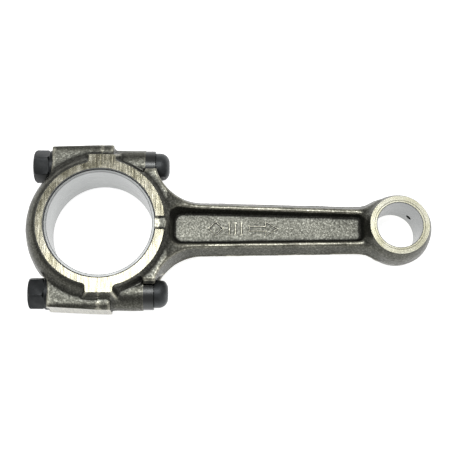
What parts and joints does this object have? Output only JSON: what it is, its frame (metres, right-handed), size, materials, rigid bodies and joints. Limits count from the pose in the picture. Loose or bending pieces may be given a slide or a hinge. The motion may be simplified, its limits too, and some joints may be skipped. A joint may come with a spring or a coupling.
{
  "type": "connecting rod",
  "caption": "Forged I-beam connecting rod with a bolted bearing cap, split bearing shells and a bushed small end.",
  "frame": {"origin": "centre of the big-end bore at mid-width", "axes": "+X along the beam to the small end, +Z along both bores, +Y to the upper bolt"},
  "size_m": [0.2011, 0.0828, 0.0292],
  "materials": {
    "forged_rod": "dark forged steel with ground faces",
    "forged_cap": "dark forged steel with ground faces",
    "bearing_shell": "fine bored lining, light grey",
    "bush": "honed, light grey",
    "bolt": "black oxide",
    "nut": "black oxide"
  },
  "bodies": {
    "rod": {"connecting_rod": "forged_rod", "rod_shell": "bearing_shell", "small_end_bush": "bush", "bolt_upper": "bolt", "bolt_lower": "bolt"},
    "cap": {"bearing_cap": "forged_cap", "cap_shell": "bearing_shell"},
    "nut_upper": {"nut_upper": "nut"},
    "nut_lower": {"nut_lower": "nut"}
  },
  "joints": [
    {"name": "cap_draw", "type": "slide", "parent": "rod", "child": "cap", "axis": [-1, 0, 0], "range_m": [0, 0.038]},
    {"name": "nut_upper_spin", "type": "hinge", "parent": "cap", "child": "nut_upper", "pos_m": [-0.0239, 0.0322, 0], "axis": [-1, 0, 0], "range_deg": [0, 12930]},
    {"name": "nut_lower_spin", "type": "hinge", "parent": "cap", "child": "nut_lower", "pos_m": [-0.0239, -0.0322, 0], "axis": [-1, 0, 0], "range_deg": [0, 12930]}
  ],
  "couplings": [
    {"joint": "nut_upper_spin", "follows": "cap_draw", "rad_per_m": 5936.9},
    {"joint": "nut_lower_spin", "follows": "cap_draw", "rad_per_m": 5936.9}
  ]
}
